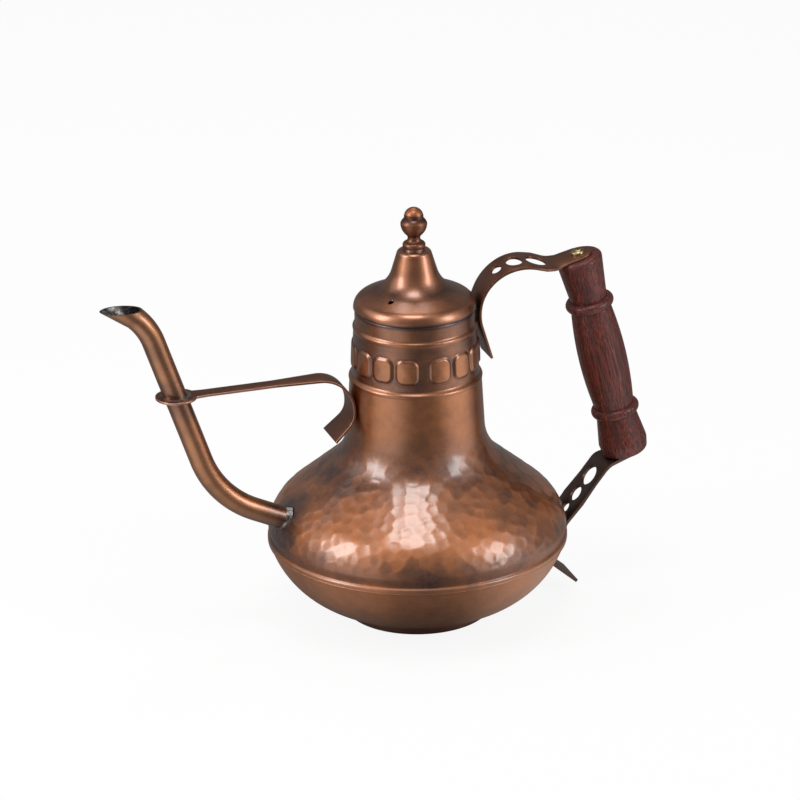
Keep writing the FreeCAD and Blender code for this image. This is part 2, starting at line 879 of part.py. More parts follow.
os.makedirs("parts", exist_ok=True)
for name, shape in pieces.items():
    box = shape.BoundBox
    print(f"{name}: {len(shape.Solids)} solid, {shape.Volume:.0f} mm3, valid {shape.isValid()},",
          f"x {box.XMin:.1f} to {box.XMax:.1f}, y {box.YMin:.1f} to {box.YMax:.1f},",
          f"z {box.ZMin:.1f} to {box.ZMax:.1f}")
    shape.exportStep(f"parts/{name}.step")
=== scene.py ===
# %% [markdown]
# # A beaten-copper pouring kettle
#
# The kettle is a round pot of copper sheet with a thin bent spout, a strap that
# steadies the spout, a lift-off lid and a turned wooden grip on pierced straps.
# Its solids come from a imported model, which is the fixed frame of this lesson.
# Here each visible piece gets its finer shape and its finish.

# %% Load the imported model
import math

import bmesh
import bpy
import numpy as np
from mathutils import Matrix, Vector


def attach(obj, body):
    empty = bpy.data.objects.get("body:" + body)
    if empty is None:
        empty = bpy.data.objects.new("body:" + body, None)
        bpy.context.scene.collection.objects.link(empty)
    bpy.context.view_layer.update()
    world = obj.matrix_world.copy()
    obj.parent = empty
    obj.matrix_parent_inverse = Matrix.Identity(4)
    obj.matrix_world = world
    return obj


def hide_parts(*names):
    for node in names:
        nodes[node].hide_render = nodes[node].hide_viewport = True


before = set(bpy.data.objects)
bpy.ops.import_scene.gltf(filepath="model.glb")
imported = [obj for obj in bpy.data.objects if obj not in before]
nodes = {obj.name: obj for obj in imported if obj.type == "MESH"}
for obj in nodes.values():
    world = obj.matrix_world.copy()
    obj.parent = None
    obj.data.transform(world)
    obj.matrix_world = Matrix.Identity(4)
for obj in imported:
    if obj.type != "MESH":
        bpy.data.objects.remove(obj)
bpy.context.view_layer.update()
MM = 0.001

# %% [markdown]
# ## The camera
#
# A long lens from far away keeps the sides of the pot nearly parallel, as in a
# catalogue picture. The camera could be shifted to place the pot in the frame,
# but a shift follows it into every other view. So it is aimed a little beside
# the middle of the pot instead, and turned slightly about its own line of sight.

# %% Aim the camera
def aimed(degrees, rise):
    """Direction at a turn round the pot and a rise above the floor, in degrees."""
    turn, up = math.radians(degrees), math.radians(rise)
    return Vector((math.sin(turn) * math.cos(up), -math.cos(turn) * math.cos(up), math.sin(up)))


def put(name, data):
    """New object in the scene for a camera, a lamp or a mesh."""
    made = bpy.data.objects.new(name, data)
    bpy.context.scene.collection.objects.link(made)
    return made


view_turn, view_rise, view_roll = -18.0, 21.74, -0.75
view_distance = 2.5
aim, aim_left, aim_up = Vector((0.0, 0.0, 100.5 * MM)), 8.05 * MM, 10.75 * MM

camera_data = bpy.data.cameras.new("catalogue_lens")
camera_data.lens = 225.0
camera_data.sensor_width = 36.0
camera = put("catalogue_camera", camera_data)
towards = aimed(view_turn, view_rise)
roll = Matrix.Rotation(math.radians(view_roll), 3, "Z")
facing = towards.to_track_quat("Z", "Y").to_matrix() @ roll
place = aim + towards * view_distance - facing.col[0] * aim_left + facing.col[1] * aim_up
camera.matrix_world = Matrix.Translation(place) @ facing.to_4x4()
bpy.context.scene.camera = camera
print("camera at", [round(v, 3) for v in place])

# %% [markdown]
# ## Arithmetic on sockets
#
# A finish is a small calculation on colours and numbers. Each step could be a
# node that is made, placed and linked by hand, which soon hides the thought.
# A wrapper round a socket lets the script write `1 - mask` and adds the Math
# node itself. Every other node comes from one method, so a tree reads as a list.

# %% Wrap node trees and sockets
class Bench:
    """A node tree, with one way to add a node, set it up and link it."""

    def __init__(self, tree):
        self.tree = tree

    def fill(self, made, sockets):
        """Link signals to a node's sockets and set plain values on them."""
        for name, value in sockets.items():
            if isinstance(value, Signal):
                self.tree.links.new(value.socket, made.inputs[name])
            else:
                made.inputs[name].default_value = value

    def node(self, kind, settings=None, sockets=None, out=0):
        """Signal from one output of a new node, if it has any."""
        made = self.tree.nodes.new(kind)
        for name, value in (settings or {}).items():
            setattr(made, name, value)
        self.fill(made, sockets or {})
        return Signal(self, made.outputs[out]) if len(made.outputs) else None


class Signal:
    """A socket that takes part in plain arithmetic."""

    def __init__(self, bench, socket):
        self.bench = bench
        self.socket = socket

    def math(self, operation, *values):
        sockets = dict(enumerate(values))
        return self.bench.node("ShaderNodeMath", {"operation": operation}, sockets)

    def other(self, name):
        return Signal(self.bench, self.socket.node.outputs[name])

    def at_least(self, value):
        return self.math("MAXIMUM", self, value)

    def at_most(self, value):
        return self.math("MINIMUM", self, value)

    def absolute(self):
        return self.math("ABSOLUTE", self)

    def eased(self, low, high, start=0.0, end=1.0):
        """Smooth step from start to end while the value goes from low to high."""
        return self.bench.node(
            "ShaderNodeMapRange",
            {"interpolation_type": "SMOOTHSTEP"},
            {"Value": self, "From Min": low, "From Max": high, "To Min": start, "To Max": end},
        )


# Each operator has a reflected form as well, so that 1 - mask works.
operators = {
    "add": "ADD", "sub": "SUBTRACT", "mul": "MULTIPLY", "truediv": "DIVIDE", "pow": "POWER"}
for word, operation in operators.items():
    setattr(Signal, f"__{word}__", lambda self, value, o=operation: self.math(o, self, value))
    setattr(Signal, f"__r{word}__", lambda self, value, o=operation: self.math(o, value, self))
print("socket arithmetic is ready:", list(operators))

# %% [markdown]
# ## The copper finishes
#
# Copper that is pickled, rubbed down and lacquered keeps brown patina in its
# low places and shows orange metal where it was rubbed. A picture of real sheet
# could be wrapped round the pot, but it would stretch and show a seam. Noise in
# the piece's own space has neither fault: a slow one mixes patina and metal, a
# finer one mottles it, and fine rings give the grain of the turning tool.

# %% Start a finish
def finish(name):
    """New material with its bench and its shader node."""
    material = bpy.data.materials.new(name)
    material.use_nodes = True
    shader = material.node_tree.nodes["Principled BSDF"]
    return material, Bench(material.node_tree), shader


def own_space(bench):
    return bench.node("ShaderNodeTexCoord").other("Object")


def noise(bench, where, scale, detail, roughness):
    """Noise from 0 to 1, at a scale per metre."""
    sockets = {"Vector": where, "Scale": scale, "Detail": detail, "Roughness": roughness}
    return bench.node("ShaderNodeTexNoise", None, sockets)


def blend(bench, share, first, second):
    """Colour between two colours, each a signal or its red, green and blue."""
    first, second = (c if isinstance(c, Signal) else (*c, 1) for c in (first, second))
    sockets = {"Factor": share, 6: first, 7: second}
    return bench.node("ShaderNodeMix", {"data_type": "RGBA"}, sockets, out=2)


def bumped(bench, height, strength, distance):
    sockets = {"Height": height, "Strength": strength, "Distance": distance}
    return bench.node("ShaderNodeBump", None, sockets)


def marked_on(bench, value):
    """A number as it is, or for a word what the mesh carries under that name."""
    if not isinstance(value, str):
        return value
    return bench.node("ShaderNodeAttribute", {"attribute_name": value}, out=2)


def split(bench, vector):
    x = bench.node("ShaderNodeSeparateXYZ", None, {"Vector": vector})
    return x, x.other("Y"), x.other("Z")


def hypotenuse(a, b):
    return (a * a + b * b) ** 0.5


def ring_space(bench, where):
    """Distance from the axis and height, so that a pattern runs round the pot."""
    x, y, z = split(bench, where)
    return bench.node("ShaderNodeCombineXYZ", None, {"X": hypotenuse(x, y), "Z": z})


print("finish helpers are ready")

# %% Copper under lacquer
lacquer_ior, lacquer_rough = 1.9, 0.23
relief, relief_depth = 0.06, 0.15 * MM
# Scale, detail and roughness of clouds, mottling, specks and the lines of the tool.
copper_grains = [(26.0, 4.0, 0.6), (170.0, 4.0, 0.65), (900.0, 2.0, 0.5)]
tool_grain = (1500.0, 3.0, 0.7)


def copper(name, metal, patina, rough, lacquer, worn="worn", rings=False, uneven=1.0):
    """Satin copper under lacquer; a word in place of a number names a mark on the mesh."""
    material, bench, shader = finish(name)
    where = own_space(bench)
    clouds, mottle, specks = (
        (noise(bench, where, *grain) - 0.5) * uneven for grain in copper_grains)
    # The mesh's mark holds rubbing wear and, around the lid's rim, painted shade; both pull the
    # colour towards patina.
    rubbed = marked_on(bench, worn) + clouds * 1.35 + mottle * 0.5 + specks * 0.2
    gloss = marked_on(bench, rough) + mottle * 0.14 + specks * 0.06
    height = specks * 0.5
    if rings:
        lines = noise(bench, ring_space(bench, where), *tool_grain) - 0.5
        rubbed, gloss, height = rubbed + lines * 0.3, gloss + lines * 0.1, height + lines
    bench.fill(shader, {
        "Base Color": blend(bench, rubbed, patina, metal),
        "Roughness": gloss,
        "Normal": bumped(bench, height, relief, relief_depth),
        "Metallic": 1.0,
        "Coat Weight": marked_on(bench, lacquer),
        "Coat Roughness": lacquer_rough,
        "Coat IOR": lacquer_ior,
    })
    return material


print("grains in copper:", copper_grains)

# %% Mix the coppers
bare, brown, tube_bare = (0.66, 0.237, 0.076), (0.105, 0.040, 0.026), (0.66, 0.26, 0.090)
beaten = copper("beaten_copper", bare, brown, "satin", "lacquer")
banded = copper("band_copper", bare, brown, 0.37, 0.65, rings=True, uneven=0.8)
spun = copper("spun_copper", (0.66, 0.235, 0.085), brown, 0.38, 0.7, rings=True, uneven=0.8)
knob_finish = copper(
    "knob_copper", (0.60, 0.21, 0.080), (0.09, 0.032, 0.022), 0.50, 0.3, rings=True, uneven=0.4)
bowl_finish = copper(
    "bowl_copper", (0.60, 0.24, 0.095), (0.15, 0.060, 0.036), 0.55, 0.4, rings=True, uneven=0.9)
drawn = copper(
    "drawn_copper", tube_bare, (0.13, 0.045, 0.026), 0.38, 0.7, worn=0.54, uneven=1.25)
spout_finish = copper(
    "spout_copper", tube_bare, (0.085, 0.034, 0.024), 0.38, 0.7, uneven=1.1)
strap_finish = copper(
    "strap_copper", (0.38, 0.155, 0.085), (0.12, 0.048, 0.03), 0.44, 0.25, worn=0.5, uneven=0.6)
# Lighter copper for the straps' broken edges: part filed metal, part painted highlight.
edge_finish = copper(
    "strap_edge_copper", (0.68, 0.35, 0.25), (0.34, 0.16, 0.11), 0.42, 0.4, worn=0.6, uneven=0.5)
dark = copper(
    "dark_copper", (0.16, 0.082, 0.060), (0.050, 0.030, 0.024), 0.46, 0.2, worn=0.5, uneven=0.7)
foot_finish = copper(
    "foot_copper", (0.46, 0.20, 0.12), (0.19, 0.085, 0.055), 0.46, 0.6,
    worn=0.45, rings=True, uneven=0.7)
print("finishes so far:", bpy.data.materials.keys())

# %% [markdown]
# ## Tin, brass and wood
#
# The joints are soft-soldered, the inside is tinned and the screws are brass, all
# dulled by use; the solder where the straps meet the neck is painted near black for
# the shade in those joints. The grip is a dark red hardwood with open pores. Flat
# colours would do for such small pieces, but they look like plastic. So one noise
# mottles the metals, and the same noise stretched along the grip gives fibres and pores.

# %% Tin and brass finishes
def plain_metal(name, light, dull, rough):
    """Dull metal with a fine mottle."""
    material, bench, shader = finish(name)
    mottle = noise(bench, own_space(bench), 450.0, 4.0, 0.65)
    bench.fill(shader, {
        "Base Color": blend(bench, mottle.eased(0.3, 0.7), dull, light),
        "Roughness": rough + (mottle - 0.5) * 0.25,
        "Normal": bumped(bench, mottle, 0.25, 0.3 * MM),
        "Metallic": 1.0,
    })
    return material


tin = plain_metal("tin_solder", (0.46, 0.44, 0.41), (0.20, 0.19, 0.175), 0.38)
# Painted shade: the solder in the strap joints on the neck is near black for the shade in those
# joints.
old_solder = plain_metal("aged_solder", (0.095, 0.08, 0.074), (0.035, 0.029, 0.027), 0.45)
mottled_solder = plain_metal("mottled_solder", (0.40, 0.38, 0.36), (0.06, 0.052, 0.048), 0.40)
lining = plain_metal("tin_lining", (0.66, 0.63, 0.59), (0.45, 0.42, 0.39), 0.42)
brass = plain_metal("screw_brass", (0.62, 0.49, 0.27), (0.34, 0.25, 0.13), 0.30)
print("finishes in all:", len(bpy.data.materials))

# %% Wood finish
grip_tilt = math.radians(13.2)
fibre_stretch = 55.0
fibre_dark, fibre_red = (0.036, 0.010, 0.009), (0.24, 0.047, 0.032)
aged_brown, pore_brown = (0.055, 0.017, 0.014), (0.020, 0.007, 0.007)


def wood(name):
    """Dark red-brown hardwood with open pores along the grip."""
    material, bench, shader = finish(name)
    along = bench.node(
        "ShaderNodeMapping", {"vector_type": "TEXTURE"},
        {"Vector": own_space(bench), "Rotation": (0.0, -grip_tilt, 0.0),
         "Scale": (1.0, 1.0, fibre_stretch)},
    )
    fibres = noise(bench, along, 2900.0, 4.0, 0.6)
    pores = noise(bench, along, 1800.0, 2.0, 0.5).eased(0.54, 0.66)
    bands = noise(bench, along, 260.0, 3.0, 0.5)
    red = blend(bench, fibres.eased(0.36, 0.66), fibre_dark, fibre_red)
    aged = blend(bench, bands.eased(0.36, 0.64) * 0.7, red, aged_brown)
    bench.fill(shader, {
        "Base Color": blend(bench, pores * 0.65, aged, pore_brown),
        "Roughness": 0.28 + pores * 0.30 - fibres * 0.05,
        "Normal": bumped(bench, fibres * 0.4 - pores, 0.25, 0.4 * MM),
        "Specular IOR Level": 0.42,
    })
    return material


grip_finish = wood("grip_wood")
print("wood finish:", grip_finish.name)

# %% [markdown]
# ## The studio
#
# Polished metal shows its surroundings more than its own colour. The pot stands
# on a white sweep between two tall soft lamps, with one overhead and three weak
# ones behind and beside it. One strong lamp would give hard spots and black sides,
# and an even white room would show no form. The background is white to the camera
# alone; the metal mirrors a dim room with bright pools on the floor and the walls
# and a halo round the overhead lamp.

# %% Tell rays and directions apart
def seen_directly(bench):
    """1 for rays from the camera, and 1 for rays from a mirror or through glass."""
    path = bench.node("ShaderNodeLightPath")
    glossy = path.other("Is Glossy Ray")
    through = path.other("Is Transmission Ray")
    return path.other("Is Camera Ray"), glossy.at_least(through)


def turn_of(x, y):
    """Turn round the pot, from the front towards the right."""
    return x.math("ARCTAN2", x, y * -1.0)


def pool(turn, middle, core, edge):
    """1 within the core and 0 beyond the edge, in degrees round the pot from a middle."""
    away = (turn - math.radians(middle)).absolute()
    return away.eased(math.radians(core), math.radians(edge), 1.0, 0.0)


print("rays and directions can be told apart")

# %% Lay the floor
white, paper_white = (1, 1, 1, 1), (0.86, 0.86, 0.86, 1)
camera_share, mirror_share = 0.90, 0.85
floor_size = 6.0

floor_material = bpy.data.materials.new("white_sweep")
floor_material.use_nodes = True
floor_material.node_tree.nodes.clear()
sweep = Bench(floor_material.node_tree)
camera_ray, mirror_ray = seen_directly(sweep)
x, y, _ = split(sweep, own_space(sweep))
off_axis, turn_seen = hypotenuse(x, y), turn_of(x, y)
# Painted light that only mirror rays see: pools of lamp light on the floor at the two sides, laid
# out one way close to the pot and another way further off.
left_pool, right_pool = pool(turn_seen, -64, 8, 42), pool(turn_seen, 57, 8, 42)
far_away = 0.08 + left_pool.at_least(right_pool) * 0.88
close_by = 0.16 + left_pool * 0.25 + pool(turn_seen, 50, 14, 50) * 0.68
sheen = close_by + (far_away - close_by) * off_axis.eased(0.13, 0.26)
# Painted shadow: the floor's glow to mirror rays fades out right under the pot.
strength = camera_ray.at_least(off_axis.eased(0.02, 0.10) * sheen)
paper = sweep.node("ShaderNodeBsdfDiffuse", None, {"Color": paper_white})
glow = sweep.node("ShaderNodeEmission", None, {"Color": white, "Strength": strength})
share = (camera_ray * camera_share).at_least(mirror_ray * mirror_share)
lit = sweep.node("ShaderNodeMixShader", None, {"Fac": share, 1: paper, 2: glow})
sweep.node("ShaderNodeOutputMaterial", None, {"Surface": lit})

signs = [(-1, -1), (1, -1), (1, 1), (-1, 1)]
floor_mesh = bpy.data.meshes.new("floor")
floor_mesh.from_pydata([(a * floor_size, b * floor_size, 0) for a, b in signs], [], [(0, 1, 2, 3)])
floor_mesh.materials.append(floor_material)
floor = put("floor", floor_mesh)
print("floor is", 2 * floor_size, "m wide")

# %% Paint the room
top_turn, top_rise = -27.0, 74.0
halo_core, halo_edge = math.radians(6), math.radians(28)
light_on_pot = 0.55

world = bpy.data.worlds.new("studio")
bpy.context.scene.world = world
world.use_nodes = True
world.node_tree.nodes.clear()
room = Bench(world.node_tree)
camera_ray, mirror_ray = seen_directly(room)
x, y, z = split(room, room.node("ShaderNodeTexCoord"))
turn_seen = turn_of(x, y)
front = (x * towards.x + y * towards.y).eased(-0.5, 0.9)
walls = pool(turn_seen, -80, 14, 44).at_least(pool(turn_seen, 50, 12, 42))
pools = walls * z.eased(0.7, 0.95, 1.0, 0.0)
behind = pool(turn_seen, 130, 10, 45) * 0.05 + pool(turn_seen, -158, 8, 22) * 0.1
overhead = aimed(top_turn, top_rise)
towards_lamp = x * overhead.x + y * overhead.y + z * overhead.z
halo = towards_lamp.eased(math.cos(halo_edge), math.cos(halo_core))
mirrored = 0.12 + front * 0.08 + behind + pools * 0.5 + halo * 0.6
seen = mirrored * mirror_ray + (1 - mirror_ray) * light_on_pot
sky = room.node(
    "ShaderNodeBackground", None, {"Color": white, "Strength": seen.at_least(camera_ray)})
room.node("ShaderNodeOutputWorld", None, {"Surface": sky})
print("floor and world are white to the camera")

# %% Soft lamps
lamp_aim = Vector((0, 0, 90 * MM))


def soft_lamp(name, degrees, rise, distance, width, tall, watts):
    """Rectangular lamp at a turn and a rise round the pot, facing its middle."""
    data = bpy.data.lights.new(name, "AREA")
    data.shape = "RECTANGLE"
    data.size, data.size_y = width, tall
    data.energy = watts
    lamp = put(name, data)
    direction = aimed(degrees, rise)
    facing = direction.to_track_quat("Z", "Y").to_matrix().to_4x4()
    lamp.matrix_world = Matrix.Translation(lamp_aim + direction * distance) @ facing


lamps = [
    ("top_box", top_turn, top_rise, 1.3, 0.50, 0.40, 3.6),
    ("left_box", -85.0, 31.0, 1.3, 0.44, 0.76, 5.8),
    ("right_box", 48.0, 22.0, 1.3, 0.38, 0.76, 4.2),
    ("back_box", -118.0, 32.0, 1.4, 0.6, 0.8, 0.9),
    ("far_right_box", 78.0, 28.0, 1.4, 0.8, 0.8, 0.18),
    ("lid_box", 165.0, 65.0, 1.4, 0.50, 0.30, 2.0),
]
for lamp in lamps:
    soft_lamp(*lamp)
bpy.context.scene.view_settings.view_transform = "Standard"
print("lamps:", [lamp[0] for lamp in lamps])

# %% [markdown]
# ## Outlines and turning
#
# Most of the pot is spun on a lathe, so its pieces are outlines turned about one
# axis. A finished profile could be traced point by point, but a few corners with
# roundings say the same and are easy to change. Helpers turn corners into points,
# move them in by the thickness of the sheet and spin them round.

# %% Draw outlines
def rounding(corner):
    """Radius of a corner (x, z, rounding), or 0 where none is given."""
    return corner[2] if len(corner) > 2 else 0.0


def outline(corners, degrees=3.0):
    """Points along corners (x, z, rounding), with a point every few degrees of arc."""
    points = [Vector(corners[0][:2])]
    for before, corner, after in zip(corners, corners[1:], corners[2:]):
        middle, radius = Vector(corner[:2]), rounding(corner)
        if radius <= 0:
            points.append(middle)
            continue
        back = (Vector(before[:2]) - middle).normalized()
        ahead = (Vector(after[:2]) - middle).normalized()
        half = back.angle(ahead) / 2
        start = middle + back * radius / math.tan(half)
        centre = middle + (back + ahead).normalized() * radius / math.sin(half)
        sweep = math.copysign(math.pi - 2 * half, back.y * ahead.x - back.x * ahead.y)
        steps = max(2, math.ceil(math.degrees(abs(sweep)) / degrees))
        for step in range(steps + 1):
            points.append(centre + Matrix.Rotation(sweep * step / steps, 2) @ (start - centre))
    points.append(Vector(corners[-1][:2]))
    return points


def arc(start, middle, end, steps=14):
    """Points on the circle through three points, without the first."""
    a, b, c = (complex(*p) for p in (start, middle, end))
    w = (c - a) / (b - a)
    centre = a + (b - a) * (w - abs(w) ** 2) / (w - w.conjugate())
    first = a - centre
    via, turn_by = (math.atan2(s.imag, s.real) for s in ((p - centre) / first for p in (b, c)))
    if turn_by * via < 0 or abs(via) > abs(turn_by):
        turn_by -= math.copysign(2 * math.pi, turn_by)
    turns = [turn_by * k / steps for k in range(1, steps + 1)]
    spots = [centre + first * complex(math.cos(t), math.sin(t)) for t in turns]
    return [Vector((s.real, s.imag)) for s in spots]


print("outlines can be drawn")


# %% Shift and fill outlines
def beside(corners, distance):
    """Corners of the outline parallel to this one, on its left."""
    moved = []
    last = len(corners) - 1
    for index, corner in enumerate(corners):
        near = (max(index - 1, 0), index, min(index + 1, last))
        spots = [Vector(corners[i][:2]) for i in near]
        into = (spots[1] - spots[0]) if index else (spots[2] - spots[1])
        out = (spots[2] - spots[1]) if index < last else into
        into, out = into.normalized(), out.normalized()
        share = distance / (1 + into.dot(out))
        bend = into.x * out.y - into.y * out.x
        radius = rounding(corner)
        if radius > 0:
            radius = max(radius - math.copysign(distance, bend), 0.0)
        x, z = corner[0] - (into.y + out.y) * share, corner[1] + (into.x + out.x) * share
        moved.append((x, z, radius))
    return moved


def spaced(points, gap):
    """The same points with more between them; the gap is a number or a rule of height."""
    full = [points[0]]
    for start, end in zip(points, points[1:]):
        widest = gap(start.y) if callable(gap) else gap
        count = max(1, math.ceil((end - start).length / widest))
        full += [start.lerp(end, k / count) for k in range(1, count + 1)]
    return full


print("outlines can be shifted and filled")

# %% Turn an outline on the lathe
same_spot, on_axis = 1e-5, 1e-6


def face_outwards(mesh):
    """Turn every face of a closed mesh to the outside."""
    bm = bmesh.new()
    bm.from_mesh(mesh)
    bmesh.ops.recalc_face_normals(bm, faces=bm.faces)
    if bm.calc_volume(signed=True) < 0:
        bmesh.ops.reverse_faces(bm, faces=bm.faces)
    bm.to_mesh(mesh)
    bm.free()


def turned(name, loop, segments, material=None, closed=True):
    """Mesh of an outline in mm spun about the pot's axis; points on the axis become poles."""
    points = [loop[0]] + [b for a, b in zip(loop, loop[1:]) if (b - a).length > same_spot]
    spots, rings = [], []
    turns = [2 * math.pi * k / segments for k in range(segments)]
    for radius, z in points:
        start = len(spots)
        if radius < on_axis:
            spots.append((0.0, 0.0, z * MM))
            rings.append([start] * segments)
        else:
            spots += [(radius * math.cos(t) * MM, radius * math.sin(t) * MM, z * MM) for t in turns]
            rings.append(list(range(start, start + segments)))
    faces = []
    pairs = list(zip(rings, rings[1:])) + ([(rings[-1], rings[0])] if closed else [])
    for low, high in pairs:
        for k in range(segments):
            n = (k + 1) % segments
            corners = dict.fromkeys((low[k], low[n], high[n], high[k]))
            if len(corners) > 2:
                faces.append(tuple(corners))
    mesh = bpy.data.meshes.new(name)
    mesh.from_pydata(spots, [], faces)
    face_outwards(mesh)
    if material:
        mesh.materials.append(material)
    return mesh


print("the lathe is ready")


# %% Finish a mesh
def mark(mesh, name, values):
    """Let each point of a mesh carry a number under a name."""
    marks = mesh.attributes.new(name, "FLOAT", "POINT")
    marks.data.foreach_set("value", np.asarray(values, np.float32))


def mark_worn(mesh, rule):
    """Mark how far the patina is rubbed off, and where shade is painted, by a rule of radius and
    height in mm.
    """
    spots = np.empty(len(mesh.vertices) * 3, np.float32)
    mesh.vertices.foreach_get("co", spots)
    x, y, z = spots.reshape(-1, 3).T / MM
    mark(mesh, "worn", rule(np.hypot(x, y), z))


def piece(name, mesh, body, replaced, sharp=35.0):
    """Smooth object that rides on a body and stands for solids; edges over an angle stay sharp."""
    made = put(name, mesh)
    mesh.shade_smooth()
    mesh.set_sharp_from_angle(angle=math.radians(sharp))
    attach(made, body)
    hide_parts(*replaced)
    print(name, "has", len(mesh.polygons), "faces")


print("meshes can be finished")

# %% [markdown]
# ## Running geometry nodes
#
# Hammer blows, punched squares, the bent tube and the pores each follow a rule,
# so node trees make them. Such a tree could stay on its piece as a modifier. Here
# it is run once and its result kept as a plain mesh, which the script can still
# cut, line and mark.

# %% Build a tree
def new_tree(name, sizes):
    """Tree with a mesh input, named sizes and a finish; returns it with its input signals."""
    tree = bpy.data.node_groups.new(name, "GeometryNodeTree")
    tree.interface.new_socket("Geometry", in_out="INPUT", socket_type="NodeSocketGeometry")
    for label, value in sizes.items():
        kind = "NodeSocketInt" if isinstance(value, int) else "NodeSocketFloat"
        tree.interface.new_socket(label, in_out="INPUT", socket_type=kind)
    tree.interface.new_socket("Finish", in_out="INPUT", socket_type="NodeSocketMaterial")
    tree.interface.new_socket("Geometry", in_out="OUTPUT", socket_type="NodeSocketGeometry")
    bench = Bench(tree)
    first = bench.node("NodeGroupInput")
    return bench, {s.name: Signal(bench, s) for s in first.socket.node.outputs if s.name}


def carried(bench, name):
    """Number that the points carry under a name."""
    return bench.node("GeometryNodeInputNamedAttribute", {"data_type": "FLOAT"}, {"Name": name})


def store(bench, geometry, name, value, domain="POINT"):
    """Geometry whose points or faces carry a number under a name."""
    return bench.node(
        "GeometryNodeStoreNamedAttribute", {"data_type": "FLOAT", "domain": domain},
        {"Geometry": geometry, "Name": name, "Value": value},
    )


def pushed_out(bench, geometry, distance):
    """Geometry with its points moved along their normals."""
    normal = bench.node("GeometryNodeInputNormal")
    scale = {"operation": "SCALE"}
    offset = bench.node("ShaderNodeVectorMath", scale, {0: normal, "Scale": distance})
    return bench.node("GeometryNodeSetPosition", None, {"Geometry": geometry, "Offset": offset})


print("trees can be built")


# %% Run a tree or another modifier
def modified(mesh, kind, settings, inputs=None):
    """Plain mesh that a modifier makes of a mesh."""
    worker = put("worker", mesh)
    modifier = worker.modifiers.new("tool", kind)
    for name, value in settings.items():
        setattr(modifier, name, value)
    for name, value in (inputs or {}).items():
        modifier[name] = value
    graph = bpy.context.evaluated_depsgraph_get()
    result = bpy.data.meshes.new_from_object(worker.evaluated_get(graph))
    bpy.data.objects.remove(worker)
    return result


def run_tree(bench, given, geometry, mesh, sizes, material):
    """Plain mesh that a tree, once it ends in this geometry, makes of a mesh."""
    plain = bench.node("GeometryNodeRealizeInstances", None, {"Geometry": geometry})
    dressing = {"Geometry": plain, "Material": given["Finish"]}
    dressed = bench.node("GeometryNodeSetMaterial", None, dressing)
    bench.node("NodeGroupOutput", None, {"Geometry": dressed})
    values = {**sizes, "Finish": material}
    inputs = {
        item.identifier: values[item.name] for item in bench.tree.interface.items_tree
        if item.in_out == "INPUT" and item.name in values
    }
    return modified(mesh, "NODES", {"node_group": bench.tree}, inputs)


print("trees can run")

# %% [markdown]
# ## The beaten belly
#
# The belly was planished: a smith goes round it with a polished hammer, and each
# blow leaves a shallow dish that meets its neighbours in soft ridges. A bump map
# would glint but leave the edge of the pot smooth. Geometry nodes scatter blows
# evenly over the belly and press every point in by its distance from the nearest
# one, so the dishes are real, and the neck and the hem stay smooth. Each blow
# also rubs its dish a little more or less, and the heat of soldering has left a
# dark stain round the root of the spout.

# %% Outline of the belly and neck
wall = 1.0
belly_r, seam_z = 75.5, 39.7
neck_top_r, neck_top_z = 33.0, 125.1
cove_z, cove_below, cove_above, cove_depth = 42.5, 1.6, 4.8, 1.0
shell_corners = [
    (belly_r, seam_z),
    (belly_r, seam_z + 15.4, 27.0),
    (34.9, 88.7, 26.0),
    (neck_top_r, neck_top_z),
]
# Heights and the widest gap between rows below them: hem, cove, blows; then the neck.
row_gaps, neck_gap = [(43, 0.2), (49, 0.3), (98, 0.74)], 2.5


def with_cove(points):
    """Points drawn in to the cove above the hem, steep below and shallow above."""
    drawn_in = []
    for radius, z in points:
        away = (z - cove_z) / (cove_above if z > cove_z else cove_below)
        if abs(away) < 1:
            radius -= cove_depth * (0.5 + 0.5 * math.cos(math.pi * away))
        drawn_in.append(Vector((radius, z)))
    return drawn_in


def belly_gap(z):
    return next((gap for top, gap in row_gaps if z < top), neck_gap)


belly_segments = 560
belly_outside = with_cove(spaced(outline(shell_corners, 1.5), belly_gap))
belly_lining = beside(shell_corners, wall)
belly_lining[0] = (belly_r - 2.2 * wall, seam_z)
belly_inside = spaced(outline(belly_lining, 8.0), 12.0)
belly_mesh = turned("belly", belly_outside + belly_inside[::-1], belly_segments)
print("rows of points up the belly:", len(belly_outside))


# %% Tell the outside from the inside
def mark_outside(mesh, count, segments):
    """Mark the first rings of a turned mesh with 1 and the others with 0."""
    mark(mesh, "outside", np.arange(len(mesh.vertices)) < count * segments)


def line_inside(mesh, count, segments):
    """Give the rings of faces after the outside ones the tin lining."""
    mesh.materials.append(lining)
    index = np.zeros(len(mesh.polygons), np.int32)
    index[count * segments:] = len(mesh.materials) - 1
    mesh.polygons.foreach_set("material_index", index)


mark_outside(belly_mesh, len(belly_outside), belly_segments)
root_z = 58.4
root_x = float(np.interp(root_z, [p.y for p in belly_outside], [p.x for p in belly_outside]))
print("the spout meets the belly", round(root_x, 1), "mm from the axis")

